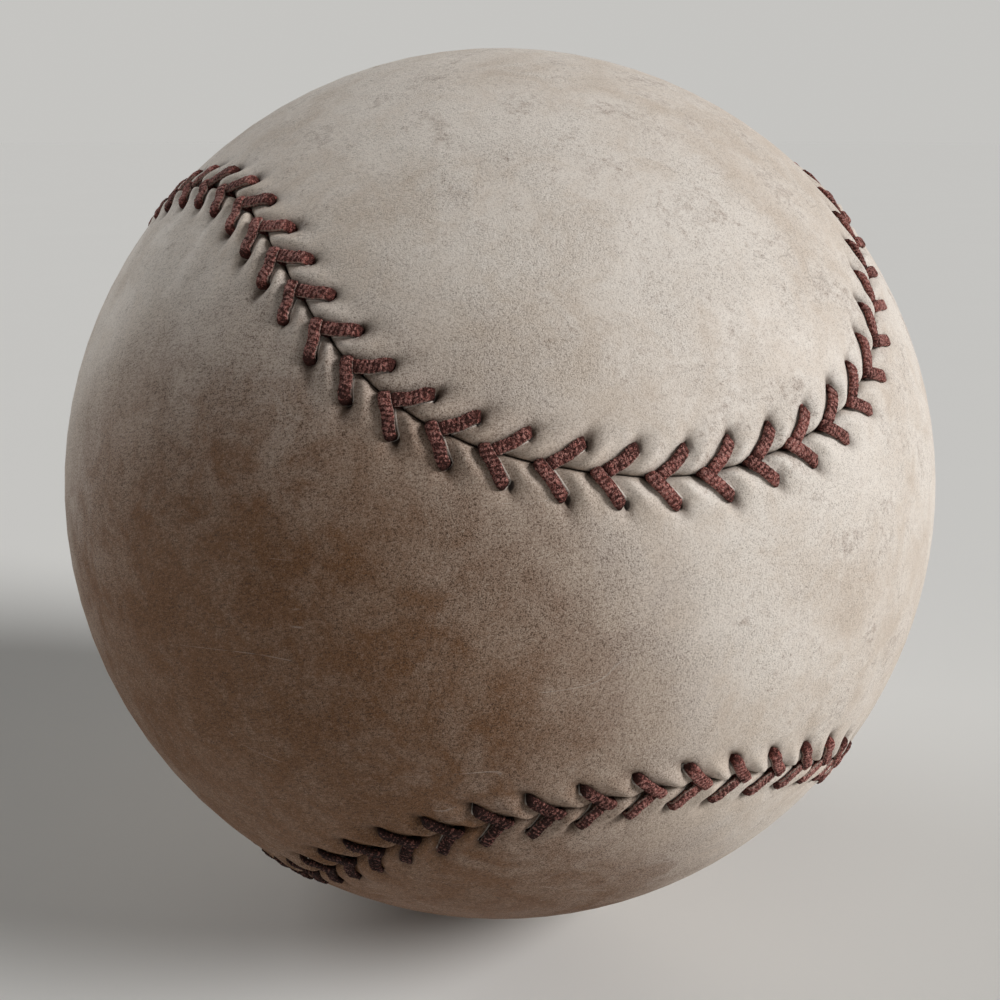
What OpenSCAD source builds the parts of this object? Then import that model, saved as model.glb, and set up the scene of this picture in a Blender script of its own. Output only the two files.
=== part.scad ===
// A stitched leather baseball, built in layers from the cork core outwards.
// The origin is the centre of the ball. The waist of the front cover faces -Y, the waist of the
// back cover faces +Y, and the ball rests at the lowest point of the back cover, under the origin.

/* [Core] */
// Diameter of the cork core
cork_d = 20.64; // [14:0.01:26]
// Wall of the two black rubber half shells
black_wall = 3.18; // [1.5:0.01:5]
// Thickness of the red washer between the black half shells
washer_t = 0.8; // [0.4:0.05:2]
// Wall of the red rubber shell that is moulded over the black ones
red_wall = 3.18; // [1.5:0.01:5]

/* [Windings] */
// Build-up of the first winding, grey four-ply wool
first_wool_t = 14.65; // [8:0.05:18]
// Build-up of the second winding, white three-ply wool
second_wool_t = 1.77; // [0.8:0.01:3]
// Build-up of the third winding, grey three-ply wool
third_wool_t = 1.75; // [0.8:0.01:3]
// Build-up of the finish winding, fine white cotton
cotton_t = 0.45; // [0.2:0.01:1.5]

/* [Covers] */
// Thickness of the adhesive coat, which also leaves room for the thread under the leather
adhesive_t = 0.4; // [0.3:0.01:0.8]
// Thickness of the leather
leather_t = 1.2; // [0.8:0.01:2]
// Width of a cover at its waist, measured over the leather
waist_w = 22; // [18:0.1:28]
// Fullness of the waist ends, in degrees of latitude
waist_fullness = 4.2; // [2:0.1:6]
// Swell of the lobes, in degrees of longitude
lobe_swell = 24.8; // [20:0.1:27]
// Squareness of the lobes, in degrees of longitude
lobe_square = 9.7; // [6:0.1:11]
// Gap between the cut edges of the two covers
seam_gap = 0.5; // [0.4:0.01:0.7]

/* [Stitches] */
// Number of V stitches round the seam, an even number
stitch_count = 124; // [108:2:132]
// Place of the first stitch along the seam, as a share of the pitch
stitch_phase = 0.6; // [0:0.01:0.99]
// Length of a stitch leg along the seam
leg_along = 1.8; // [1.5:0.05:2.1]
// Length of a stitch leg across the seam, from the seam to its needle hole
leg_across = 1.9; // [1.6:0.05:2.4]
// Distance along the seam between the two legs of a V where they dive into the gap
leg_stagger = 0.88; // [0.85:0.01:1]
// Width of the thread where it lies flat on the leather
thread_w = 0.8; // [0.6:0.01:0.9]
// Height of the thread where it lies flat on the leather
thread_h = 0.4; // [0.25:0.01:0.6]
// Width of the thread where it dives between the covers
dive_w = 0.46; // [0.35:0.01:0.5]
// Diameter of a needle hole
hole_d = 0.8; // [0.65:0.01:1]
// Clearance round the thread
thread_clear = 0.05; // [0.04:0.01:0.06]
// Distance between the two tucked ends of a thread, under the leather
thread_end_gap = 0.5; // [0.3:0.05:0.9]

/* [Hidden] */
$fn = 96;

// Outer radius of each layer, from the core outwards
cork_r = cork_d / 2;
black_r = cork_r + black_wall;
red_r = black_r + red_wall;
first_wool_r = red_r + first_wool_t;
second_wool_r = first_wool_r + second_wool_t;
third_wool_r = second_wool_r + third_wool_t;
cotton_r = third_wool_r + cotton_t;
adhesive_r = cotton_r + adhesive_t;
ball_r = adhesive_r + leather_t;

// Reach past a cut face, so that a cutter always passes right through
over = 1;

// Colours of the layers
cork_colour = [0.72, 0.55, 0.38];
black_colour = [0.12, 0.12, 0.13];
red_colour = [0.62, 0.16, 0.14];
grey_wool_colour = [0.55, 0.54, 0.52];
white_wool_colour = [0.86, 0.84, 0.79];
cotton_colour = [0.93, 0.92, 0.88];
adhesive_colour = [0.90, 0.85, 0.66];
leather_colour = [0.76, 0.71, 0.64];
thread_colour = [0.42, 0.20, 0.19];

// The seam is a closed curve on the ball, given by its latitude and longitude about the Y axis.
// It starts at the end of the front cover's right lobe, and each quarter of it is the same.
seam_start = 135;
seam_turn = 225;
waist_angle = waist_w / 2 / ball_r * 180 / PI;
seam_reach = 90 - waist_angle - waist_fullness;

function seam_latitude(u) = seam_reach * sin(2 * u) - waist_fullness * sin(6 * u);
function seam_longitude(u) = u - lobe_swell * sin(4 * u) + lobe_square * sin(8 * u) + seam_turn;
function seam_at(u) =
    let (lat = seam_latitude(u), lon = seam_longitude(u))
    [cos(lat) * cos(lon), -sin(lat), cos(lat) * sin(lon)];

// Distance along the seam against its parameter, both from the start of the seam
seam_steps = 1440;
seam_table = [
    for (i = 0, u = seam_start, arc = 0, p = seam_at(u); i <= seam_steps;
         i = i + 1,
         u = seam_start + 360 * i / seam_steps,
         q = seam_at(u),
         arc = arc + ball_r * norm(q - p),
         p = q)
        [arc, u]
];
seam_length = seam_table[seam_steps][0];

// Direction, tangent and points of the seam at a distance s along it. A distance across the seam
// is positive towards the front cover.
function wrap(s) = s - seam_length * floor(s / seam_length);
function seam_dir(s) = seam_at(lookup(wrap(s), seam_table));
tangent_step = 0.05;
function unit(v) = v / norm(v);
function seam_tangent(s) = unit(seam_dir(s + tangent_step) - seam_dir(s - tangent_step));
function arc_angle(distance) = distance / ball_r * 180 / PI;
function spot_dir(s, across) =
    let (n = seam_dir(s), a = arc_angle(across))
    n * cos(a) + cross(n, seam_tangent(s)) * sin(a);
function spot(s, across, r) = r * unit(spot_dir(s, across));

// A vector in the ball's surface, from its parts along and across the seam
function flat_vector(s, across, v) =
    let (t = seam_tangent(s))
    v[0] * t + v[1] * cross(unit(spot_dir(s, across)), t);

// Stitches
pitch = seam_length / stitch_count;
front = 1;
back = -1;
function other_side(side) = -side;
function dive_place(i, side) = (i + stitch_phase) * pitch + side * leg_stagger / 2;
function hole_place(i, side) = dive_place(i, side) - leg_along;

// Heights of the thread's centre over and under the leather
channel_h = adhesive_t - 2 * thread_clear;
over_r = ball_r + thread_clear + thread_h / 2;
under_r = adhesive_r - thread_clear - channel_h / 2;
hole_thread_d = hole_d - 4 * thread_clear;
gap_thread_t = seam_gap - 2 * thread_clear;

// A ring of thread is its centre, its half width and its half height. The width always leans
// forwards along the seam, and the height follows the thread round each bend.
flat_share = 0.62;
function ring_points(ring) =
    let (c = ring[0], w = ring[1], h = ring[2])
    [
        c + w, c + flat_share * w + h, c - flat_share * w + h,
        c - w, c - flat_share * w - h, c + flat_share * w - h
    ];
ring_sides = 6;

// Square to a direction in the surface, leaning forwards along the seam
function forward_normal(v) = v[1] < 0 ? unit([-v[1], v[0]]) : unit([v[1], -v[0]]);

// Run of the thread under the leather, from where stitch i dives to the next needle hole
function under_run(i, side) =
    [hole_place(i + 1, other_side(side)) - dive_place(i, side), -side * leg_across];

// A ring of the run under the leather, at a share of its length along and across the seam
function under_ring(i, side, share) =
    let (
        run = under_run(i, side),
        s = dive_place(i, side) + run[0] * share[0],
        across = run[1] * share[1],
        n = unit(spot_dir(s, across))
    )
    [
        under_r * n,
        flat_vector(s, across, forward_normal(run)) * dive_w / 2,
        side * n * channel_h / 2
    ];

// The thread leaves the gap nearly square to the seam, clear of the other thread in it
square_share = [0.1, 0.5];

// Where the thread turns up into its needle hole
function hole_foot_ring(i, side) =
    let (
        from = other_side(side),
        run = under_run(i - 1, from),
        s = hole_place(i, side),
        across = side * leg_across,
        n = unit(spot_dir(s, across)),
        ahead = flat_vector(s, across, unit(run))
    )
    [
        under_r * n,
        flat_vector(s, across, forward_normal(run)) * hole_thread_d / 2,
        from * (n * channel_h - ahead * hole_thread_d) / 2
    ];

// Where the thread leaves its needle hole and turns along the leg
function hole_head_ring(i, side) =
    let (
        leg = [leg_along, -side * leg_across],
        s = hole_place(i, side),
        across = side * leg_across,
        n = unit(spot_dir(s, across)),
        ahead = flat_vector(s, across, unit(leg))
    )
    [
        over_r * n,
        flat_vector(s, across, forward_normal(leg)) * hole_thread_d / 2,
        side * (n * thread_h - ahead * hole_thread_d) / 2
    ];

// The flat of the leg, at a share of its length
flat_place = 0.65;
function leg_ring(i, side) =
    let (
        leg = [leg_along, -side * leg_across],
        s = hole_place(i, side) + leg_along * flat_place,
        across = side * leg_across * (1 - flat_place),
        n = unit(spot_dir(s, across))
    )
    [
        over_r * n,
        flat_vector(s, across, forward_normal(leg)) * thread_w / 2,
        side * n * thread_h / 2
    ];

// Where the leg bends down into the gap, and where it turns under the other cover
function dive_ring(i, side, r, height) =
    let (s = dive_place(i, side), n = seam_dir(s))
    [
        r * n,
        seam_tangent(s) * dive_w / 2,
        (side * n * height - cross(n, seam_tangent(s)) * gap_thread_t) / 2
    ];

// One thread sews every second leg of each cover. It starts and ends under the leather.
function leg_side(i, first_side) = i % 2 == 0 ? first_side : other_side(first_side);
function thread_rings(first_side) =
    let (
        before = other_side(first_side),
        run_length = norm(under_run(stitch_count - 1, before)),
        end_share = 0.5 - thread_end_gap / 2 / run_length,
        start_share = 0.5 + thread_end_gap / 2 / run_length
    )
    [
        under_ring(-1, before, [start_share, start_share]),
        for (i = [0 : stitch_count - 1])
            let (side = leg_side(i, first_side))
            each [
                hole_foot_ring(i, side),
                hole_head_ring(i, side),
                leg_ring(i, side),
                dive_ring(i, side, over_r, thread_h),
                dive_ring(i, side, under_r, channel_h),
                if (i < stitch_count - 1) under_ring(i, side, square_share)
            ],
        under_ring(stitch_count - 1, before, [end_share, end_share])
    ];

// A tube through a list of rings, closed at both ends
module tube(rings) {
    last = (len(rings) - 1) * ring_sides;
    points = [for (ring = rings) each ring_points(ring)];
    walls = [
        for (i = [0 : len(rings) - 2], k = [0 : ring_sides - 1])
            let (
                a = i * ring_sides + k,
                b = i * ring_sides + (k + 1) % ring_sides
            )
            each [[a, a + ring_sides, b], [b, a + ring_sides, b + ring_sides]]
    ];
    start_cap = [for (k = [1 : ring_sides - 2]) [0, k, k + 1]];
    end_cap = [for (k = [1 : ring_sides - 2]) [last, last + k + 1, last + k]];
    polyhedron(points, concat(walls, start_cap, end_cap));
}

// A wedge from the centre of the ball through one cover's outline, set back from the seam.
// Its outer faces join mirrored points of the outline, so they lie well outside the ball.
outline_points = 2 * stitch_count;
wedge_reach = 2;
function outline_start(side) = side == front ? 0 : seam_length / 4;
module cover_wedge(side, set_back) {
    half = outline_points / 2;
    outline = [
        for (j = [0 : outline_points - 1])
            spot(outline_start(side) - side * j * seam_length / outline_points, side * set_back,
                 wedge_reach * ball_r)
    ];
    function mirrored(j) = (outline_points - j) % outline_points;
    sides = [
        for (j = [0 : outline_points - 1])
            [outline_points, (j + 1) % outline_points, j]
    ];
    caps = [
        for (j = [0 : half - 1])
            each [
                if (j > 0) [mirrored(j), j, j + 1],
                if (j < half - 1) [mirrored(j), j + 1, mirrored(j + 1)]
            ]
    ];
    polyhedron(concat(outline, [[0, 0, 0]]), concat(sides, caps));
}

module shell(outer_r, inner_r) {
    difference() {
        sphere(outer_r);
        sphere(inner_r);
    }
}

// Turns the Z axis to a direction
module along(direction) {
    rotate([0, acos(direction[2]), atan2(direction[1], direction[0])])
        children();
}

module needle_holes(side) {
    for (i = [0 : stitch_count - 1])
        along(unit(spot_dir(hole_place(i, side), side * leg_across)))
            translate([0, 0, adhesive_r - over])
                cylinder(d = hole_d, h = leather_t + 2 * over);
}

module cover(side) {
    difference() {
        intersection() {
            shell(ball_r, adhesive_r);
            cover_wedge(side, seam_gap / 2);
        }
        needle_holes(side);
    }
}

// The adhesive stops short of the needle holes, so the thread runs free along the seam
adhesive_set_back = leg_across + hole_d / 2 + thread_w / 2;
module adhesive_coat(side) {
    intersection() {
        shell(adhesive_r, cotton_r);
        cover_wedge(side, adhesive_set_back);
    }
}

// One black half shell, above the washer or mirrored below it
module black_half(below) {
    intersection() {
        shell(black_r, cork_r);
        mirror([0, 0, below ? 1 : 0])
            translate([0, 0, washer_t / 2])
                cylinder(r = black_r + over, h = black_r + over);
    }
}

module cork_core() {
    color(cork_colour)
        sphere(cork_r);
}

module black_rubber_shell_upper() {
    color(black_colour)
        black_half(below = false);
}

module black_rubber_shell_lower() {
    color(black_colour)
        black_half(below = true);
}

module red_rubber_washer() {
    color(red_colour)
        intersection() {
            shell(black_r, cork_r);
            translate([0, 0, -washer_t / 2])
                cylinder(r = black_r + over, h = washer_t);
        }
}

module red_rubber_shell() {
    color(red_colour)
        shell(red_r, black_r);
}

module first_wool_winding() {
    color(grey_wool_colour)
        shell(first_wool_r, red_r);
}

module second_wool_winding() {
    color(white_wool_colour)
        shell(second_wool_r, first_wool_r);
}

module third_wool_winding() {
    color(grey_wool_colour)
        shell(third_wool_r, second_wool_r);
}

module cotton_finish_winding() {
    color(cotton_colour)
        shell(cotton_r, third_wool_r);
}

module front_adhesive_coat() {
    color(adhesive_colour)
        adhesive_coat(front);
}

module back_adhesive_coat() {
    color(adhesive_colour)
        adhesive_coat(back);
}

module front_cover() {
    color(leather_colour)
        cover(front);
}

module back_cover() {
    color(leather_colour)
        cover(back);
}

module first_stitch_thread() {
    color(thread_colour)
        tube(thread_rings(front));
}

module second_stitch_thread() {
    color(thread_colour)
        tube(thread_rings(back));
}

cork_core();
black_rubber_shell_upper();
black_rubber_shell_lower();
red_rubber_washer();
red_rubber_shell();
first_wool_winding();
second_wool_winding();
third_wool_winding();
cotton_finish_winding();
front_adhesive_coat();
back_adhesive_coat();
front_cover();
back_cover();
first_stitch_thread();
second_stitch_thread();
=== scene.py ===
import math

import bmesh
import bpy
import numpy as np
from bpy.props import FloatProperty, FloatVectorProperty, IntProperty, PointerProperty
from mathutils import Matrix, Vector


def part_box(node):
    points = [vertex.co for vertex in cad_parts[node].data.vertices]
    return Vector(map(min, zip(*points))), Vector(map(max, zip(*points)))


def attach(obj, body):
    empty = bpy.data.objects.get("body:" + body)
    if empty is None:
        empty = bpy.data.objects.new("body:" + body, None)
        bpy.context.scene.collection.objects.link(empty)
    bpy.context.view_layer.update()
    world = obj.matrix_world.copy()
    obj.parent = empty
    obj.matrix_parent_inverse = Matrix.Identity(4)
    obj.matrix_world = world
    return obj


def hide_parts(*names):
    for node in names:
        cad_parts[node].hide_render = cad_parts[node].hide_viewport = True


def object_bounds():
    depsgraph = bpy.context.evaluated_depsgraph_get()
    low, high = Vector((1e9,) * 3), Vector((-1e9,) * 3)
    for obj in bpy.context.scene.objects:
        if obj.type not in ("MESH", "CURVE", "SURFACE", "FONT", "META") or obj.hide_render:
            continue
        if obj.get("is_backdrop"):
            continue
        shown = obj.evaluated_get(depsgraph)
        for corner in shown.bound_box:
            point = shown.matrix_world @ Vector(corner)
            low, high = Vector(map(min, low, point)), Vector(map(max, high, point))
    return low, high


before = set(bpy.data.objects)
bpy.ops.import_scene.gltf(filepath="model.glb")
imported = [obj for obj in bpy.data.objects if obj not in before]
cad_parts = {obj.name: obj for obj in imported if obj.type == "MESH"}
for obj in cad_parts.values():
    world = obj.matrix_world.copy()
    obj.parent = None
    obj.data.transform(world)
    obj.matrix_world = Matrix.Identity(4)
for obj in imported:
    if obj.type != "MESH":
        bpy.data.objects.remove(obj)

bl_info = {
    "name": "Stitched baseball",
    "version": (1, 0, 0),
    "blender": (4, 5, 0),
    "location": "3D View > Sidebar > Baseball",
    "description": "Dresses a baseball's layers with worn leather covers, stitched thread and finishes",
    "category": "Add Mesh",
}

MM = 0.001
FRONT = 1
BACK = -1
SIDE_NAMES = {FRONT: "front", BACK: "back"}
BODY = "root"
MERGE = 1e-7

# Radii that the layers of the frame give
CAD_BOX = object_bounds()
BALL_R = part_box("front_cover")[1].x
UNDERSIDE_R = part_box("front_adhesive_coat")[1].x
COTTON_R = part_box("cotton_finish_winding")[1].x
LEATHER_T = BALL_R - UNDERSIDE_R


def tone(red, green, blue):
    """A display colour in steps of 0 to 255, as linear light."""
    steps = np.array([red, green, blue]) / 255
    linear = np.where(steps <= 0.04045, steps / 12.92, ((steps + 0.055) / 1.055) ** 2.4)
    return tuple(float(part) for part in linear)


def length(name, description, millimetres):
    """A length that a user may change."""
    default = millimetres * MM
    return FloatProperty(name=name, description=description, default=default, unit="LENGTH", precision=5)


def degrees(name, description, turn):
    """An angle that a user may change."""
    default = math.radians(turn)
    return FloatProperty(name=name, description=description, default=default, subtype="ANGLE")


def amount(name, description, default):
    """A plain number that a user may change."""
    return FloatProperty(name=name, description=description, default=default)


def whole(name, description, default):
    """A whole number that a user may change."""
    return IntProperty(name=name, description=description, default=default)


def colour(name, description, red, green, blue):
    """A colour that a user may change."""
    default = tone(red, green, blue)
    return FloatVectorProperty(
        name=name, description=description, default=default, subtype="COLOR", min=0, max=1
    )


class SeamSizes(bpy.types.PropertyGroup):
    """The line of the seam and the places of its stitches."""

    waist_width: length("Waist width", "Width of a cover at its waist", 22)
    waist_fullness: degrees("Waist fullness", "Fullness of the waist ends, in latitude", 4.2)
    lobe_swell: degrees("Lobe swell", "Swell of the lobes, in longitude", 24.8)
    lobe_square: degrees("Lobe squareness", "Squareness of the lobes, in longitude", 9.7)
    stitch_count: whole("Stitches", "Number of V stitches round the seam", 124)
    stitch_phase: amount("Stitch phase", "Place of the first stitch, as a share of the pitch", 0.6)
    stagger: length("Stagger", "Distance along the seam between the dives of the two legs", 0.88)
    front_hole_along: length("Front hole along", "Needle hole, along from the V's middle", -1.24)
    front_hole_in: length("Front hole inwards", "Needle hole, inwards from the seam", 1.78)
    front_tip_along: length("Front tip along", "Tip, along from the V's middle", 0.49)
    front_tip_in: length("Front tip inwards", "Tip, inwards from the seam", -0.1)
    back_hole_along: length("Back hole along", "Needle hole, along from the V's middle", -1.92)
    back_hole_in: length("Back hole inwards", "Needle hole, inwards from the seam", 1.66)
    back_tip_along: length("Back tip along", "Tip, along from the V's middle", -0.16)
    back_tip_in: length("Back tip inwards", "Tip, inwards from the seam", 0.05)


class LeatherSizes(bpy.types.PropertyGroup):
    """The relief of the leather along the seam, and the fineness of its mesh."""

    cut_gap: length("Cut gap", "Half the gap between the cut edges under the crease", 0.25)
    crease_depth: length("Crease depth", "Depth of the crease between the two covers", 0.42)
    crease_width: length("Crease width", "Width of the steep part of the crease", 0.13)
    roll_depth: length("Roll depth", "Depth that the edges roll down to the crease", 0.24)
    roll_width: length("Roll width", "Width over which the edges roll down", 0.62)
    crease_shade: length("Crease shade", "Width of the dark line in the crease", 0.06)
    parting: length("Parting", "How far the edges part where a thread dives", 0.16)
    parting_width: length("Parting width", "Half the length of a parting along the seam", 0.3)
    lip_width: length("Lip width", "Width of the narrow lip of leather round a leg", 0.09)
    trough_depth: length("Trough depth", "Depth that a leg is drawn into the leather", 0.12)
    trough_width: length("Trough width", "Half the width of a leg's trough", 0.5)
    valley_depth: length("Valley depth", "Depth of the tension valley past a needle hole", 0.16)
    valley_width: length("Valley width", "Half the width of a tension valley", 0.42)
    valley_reach: length("Valley reach", "Reach of a tension valley past its needle hole", 2.6)
    ridge_height: length("Ridge height", "Height of the pucker between two legs", 0.34)
    ridge_width: length("Ridge width", "Half the width of a pucker", 0.42)
    ridge_reach: length("Ridge reach", "Reach of a pucker past the needle holes", 2.6)
    hole_depth: length("Hole depth", "Depth of the dark pit of a needle hole", 0.45)
    hole_along: length("Hole along", "Half the width of a needle hole along the seam", 0.16)
    hole_across: length("Hole across", "Half the width of a needle hole across the seam", 0.3)
    dent_depth: length("Dent depth", "Depth of the dent that a needle hole lies in", 0.16)
    dent_along: length("Dent along", "Half the width of a dent along the seam", 0.42)
    dent_across: length("Dent across", "Half the width of a dent across the seam", 0.8)
    band_reach: length("Band reach", "Width of the finely meshed band beside the seam", 5.8)
    per_stitch: whole("Columns", "Mesh columns for each stitch, an even number", 16)
    band_rows: whole("Band rows", "Mesh rows across the band", 26)
    field_rows: whole("Field rows", "Mesh rows across the open leather", 18)
    under_rows: whole("Underside rows", "Mesh rows across the underside", 8)


class ThreadSizes(bpy.types.PropertyGroup):
    """The waxed thread."""

    width: length("Width", "Width of a leg that lies on the leather", 0.86)
    height: length("Height", "Height of a leg that lies on the leather", 0.36)
    hidden_width: length("Hidden width", "Width of the thread between and under the covers", 0.46)
    hidden_height: length("Hidden height", "Height of the thread under the covers", 0.3)
    rise: length("Rise", "Length over which a leg comes up out of its needle hole", 0.3)
    lap: length("Lap", "How far the legs of a V are lifted and pressed down where they cross", 0.07)
    bow: length("Bow", "How far a leg bows between its ends", 0.08)
    slant: degrees("Slant", "Slant of the leg's end at the needle hole", 22)
    ply_spacing: length("Ply spacing", "Distance between two ply ridges along a leg", 0.31)
    ply_depth: amount("Ply depth", "Depth of the grooves, as a share of the size", 0.18)
    plies: whole("Plies", "Plies that are twisted together", 2)
    ring_points: whole("Ring points", "Points round the thread", 12)


class YarnSizes(bpy.types.PropertyGroup):
    """The yarns of the windings."""

    four_ply: length("Four-ply width", "Width of the four-ply wool", 1.4)
    three_ply: length("Three-ply width", "Width of the three-ply wool", 1.1)
    cotton: length("Cotton width", "Width of the finishing yarn", 0.48)
    flatness: amount("Flatness", "Height of a yarn, as a share of its width", 0.5)
    bedding: amount("Bedding", "Depth that the turns lie over each other, in yarn heights", 0.7)
    clearance: length("Clearance", "Gap between a winding and the layer over it", 0.01)
    per_turn: whole("Rings", "Mesh rings for each turn", 48)
    ring_points: whole("Ring points", "Points round a yarn", 5)


class Colours(bpy.types.PropertyGroup):
    """Colours of the finishes."""

    leather_pale: colour("Leather, pale", "Clean leather", 230, 221, 211)
    leather_mid: colour("Leather, mid", "Handled leather", 207, 192, 177)
    # Grime rubbed into the leather, and painted shade low on the left of the front, where the first
    # patches lie
    leather_soil: colour("Leather, soil", "Rubbed in dirt", 120, 81, 48)
    # Grime and painted shade in the hollows along the stitches; also the dark of the grain and of the
    # fine creases
    seam_soil_and_shade: colour("Seam soil", "Dirt that settles along the stitches", 74, 53, 38)
    # Painted shade in the needle holes and along the crease
    hole_and_crease_shade: colour("Hole", "Inside of the needle holes and the crease", 44, 31, 24)
    thread: colour("Thread", "Waxed thread", 194, 118, 108)
    # Painted shade in the grooves and cracks of the thread
    thread_dark: colour("Thread, grooves", "Grooves of the thread", 20, 8, 6)
    # Wear and painted highlight on the ridges and lumps of the thread
    thread_worn: colour("Thread, worn", "Rubbed ridges of the thread", 216, 160, 150)
    # Grime worked into the thread, and painted shade where the first patches lie
    thread_dirt: colour("Thread, dirt", "Dirt worked into the thread", 88, 50, 38)
    # Painted highlight along the lit edge of the thread
    thread_rim: colour("Thread, rim", "Dust along the edges of the thread", 216, 200, 186)
    cork: colour("Cork", "Pressed cork", 186, 143, 98)
    black_rubber: colour("Black rubber", "Inner rubber shells", 34, 34, 36)
    red_rubber: colour("Red rubber", "Outer rubber shell and washer", 158, 52, 44)
    grey_wool: colour("Grey wool", "Grey yarn", 142, 138, 132)
    white_wool: colour("White wool", "White yarn", 220, 214, 200)
    cotton: colour("Cotton", "Finishing yarn", 236, 232, 222)
    adhesive: colour("Adhesive", "Dried rubber cement", 224, 206, 156)
    floor: colour("Floor", "Studio floor", 234, 233, 230)


class StageSizes(bpy.types.PropertyGroup):
    """The camera and the lamps."""

    camera_azimuth: degrees("Camera azimuth", "Angle of the camera round the ball", -19.0)
    camera_elevation: degrees("Camera elevation", "Height of the camera, as an angle", 17.2)
    camera_distance: length("Camera distance", "Distance of the camera from the ball's middle", 105.9)
    lens: amount("Lens", "Focal length, in millimetres", 42.2)
    rise: amount("Rise", "How far the ball sits above the middle of the frame", 0.0165)
    key_level: amount("Key level", "Level of the soft light from the right", 3.0)
    side_level: amount("Side level", "Level of the soft light from behind, on the left", 0.9)
    world_level: amount("World level", "Level of the even light all round", 0.16)


def unit(vectors):
    """Vectors scaled to a length of one."""
    return vectors / np.linalg.norm(vectors, axis=-1, keepdims=True)


def bell(values, middle, width):
    """A smooth bump of height one."""
    return np.exp(-(((values - middle) / width) ** 2))


def step(values, low, high):
    """A smooth rise from zero at low to one at high."""
    share = np.clip((values - low) / (high - low), 0, 1)
    return share * share * (3 - 2 * share)


class Seam:
    """The closed seam on the ball. Distances along it start at the end of the front cover's right lobe,
    and distances across it are positive towards the front cover."""

    # The curve's angle where distances start, and the turn of the whole seam about the ball's Y axis
    START = math.radians(135)
    TURN = math.radians(225)
    # Steps in which the seam is measured, and half the step that gives its direction
    STEPS = 2880
    TANGENT_STEP = 0.05 * MM

    def __init__(self, sizes):
        self.sizes = sizes
        self.reach = math.pi / 2 - sizes.waist_width / 2 / BALL_R - sizes.waist_fullness
        self.turns = self.START + np.linspace(0, 2 * math.pi, self.STEPS + 1)
        points = self.at(self.turns) * BALL_R
        lengths = np.linalg.norm(np.diff(points, axis=0), axis=1)
        self.arc = np.concatenate([[0], np.cumsum(lengths)])
        self.length = self.arc[-1]
        self.pitch = self.length / sizes.stitch_count

    def at(self, turn):
        """Directions from the ball's middle to the seam."""
        sizes = self.sizes
        lat = self.reach * np.sin(2 * turn) - sizes.waist_fullness * np.sin(6 * turn)
        swing = sizes.lobe_swell * np.sin(4 * turn) - sizes.lobe_square * np.sin(8 * turn)
        lon = turn - swing + self.TURN
        return np.stack([np.cos(lat) * np.cos(lon), -np.sin(lat), np.cos(lat) * np.sin(lon)], axis=-1)

    def direction(self, along):
        return self.at(np.interp(np.mod(along, self.length), self.arc, self.turns))

    def ahead(self, along):
        behind, before = (self.direction(along + way * self.TANGENT_STEP) for way in (-1, 1))
        return unit(before - behind)

    def spot(self, along, across):
        """Directions to places beside the seam."""
        out = self.direction(along)
        side = np.cross(out, self.ahead(along))
        angle = (across / BALL_R)[..., None]
        return out * np.cos(angle) + side * np.sin(angle)

    def flat(self, along, across, vector):
        """Vectors in the ball's surface, from their parts along and across the seam."""
        ahead = self.ahead(along)
        side = np.cross(self.spot(along, across), ahead)
        return vector[..., :1] * ahead + vector[..., 1:] * side

    def start(self, side):
        """Where a cover's outline starts, at the end of one of its lobes."""
        return 0 if side == FRONT else self.length / 4

    def middle(self, stitch):
        """Distance along the seam to the middle of a V."""
        return (stitch + self.sizes.stitch_phase) * self.pitch

    def dive(self, side):
        """Where a leg dives, along the seam from the middle of its V."""
        return side * self.sizes.stagger / 2

    def hole(self, side):
        """A leg's needle hole: along the seam from the middle of its V, and inwards."""
        return self.leg_end(side, "hole")

    def tip(self, side):
        """A leg's tip: along the seam from the middle of its V, and inwards."""
        return self.leg_end(side, "tip")

    def leg_end(self, side, end):
        """A place from its two settings, such as front_hole_along and front_hole_in."""
        names = (f"{SIDE_NAMES[side]}_{end}_{way}" for way in ("along", "in"))
        return np.array([getattr(self.sizes, name) for name in names])


def forward_normal(vector):
    """Square to a vector in the surface, leaning forwards along the seam."""
    normal = np.stack([-vector[..., 1], vector[..., 0]], axis=-1)
    return unit(np.where(vector[..., 1:] < 0, normal, -normal))


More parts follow.
